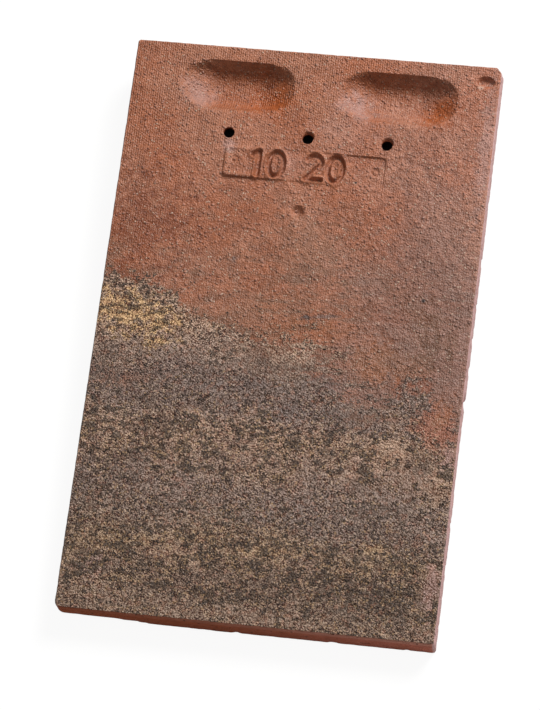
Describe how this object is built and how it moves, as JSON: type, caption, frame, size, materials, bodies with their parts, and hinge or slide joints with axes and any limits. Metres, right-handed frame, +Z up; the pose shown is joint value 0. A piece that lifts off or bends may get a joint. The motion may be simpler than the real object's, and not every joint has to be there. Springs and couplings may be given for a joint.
{
  "type": "clay roof tile",
  "caption": "Flat rectangular clay roof tile with hooking nibs underneath, pressed hollows above them and a row of nail holes below its head.",
  "frame": {"origin": "middle of the overall box at the level of the floor; the tile lies face up as it rests, on its two nibs and the lower arris of its tail, sloping 2.37 degrees up to the head", "axes": "+Y from tail to head, +X to the right as the face is looked at with the head up, +Z up"},
  "size_m": [0.165, 0.2652, 0.0239],
  "materials": {
    "fired_clay": "matt, ribbed and sanded; terracotta head, brown, grey and ochre sanded tail"
  },
  "bodies": {
    "root": {"roof_tile": "fired_clay"}
  },
  "joints": []
}
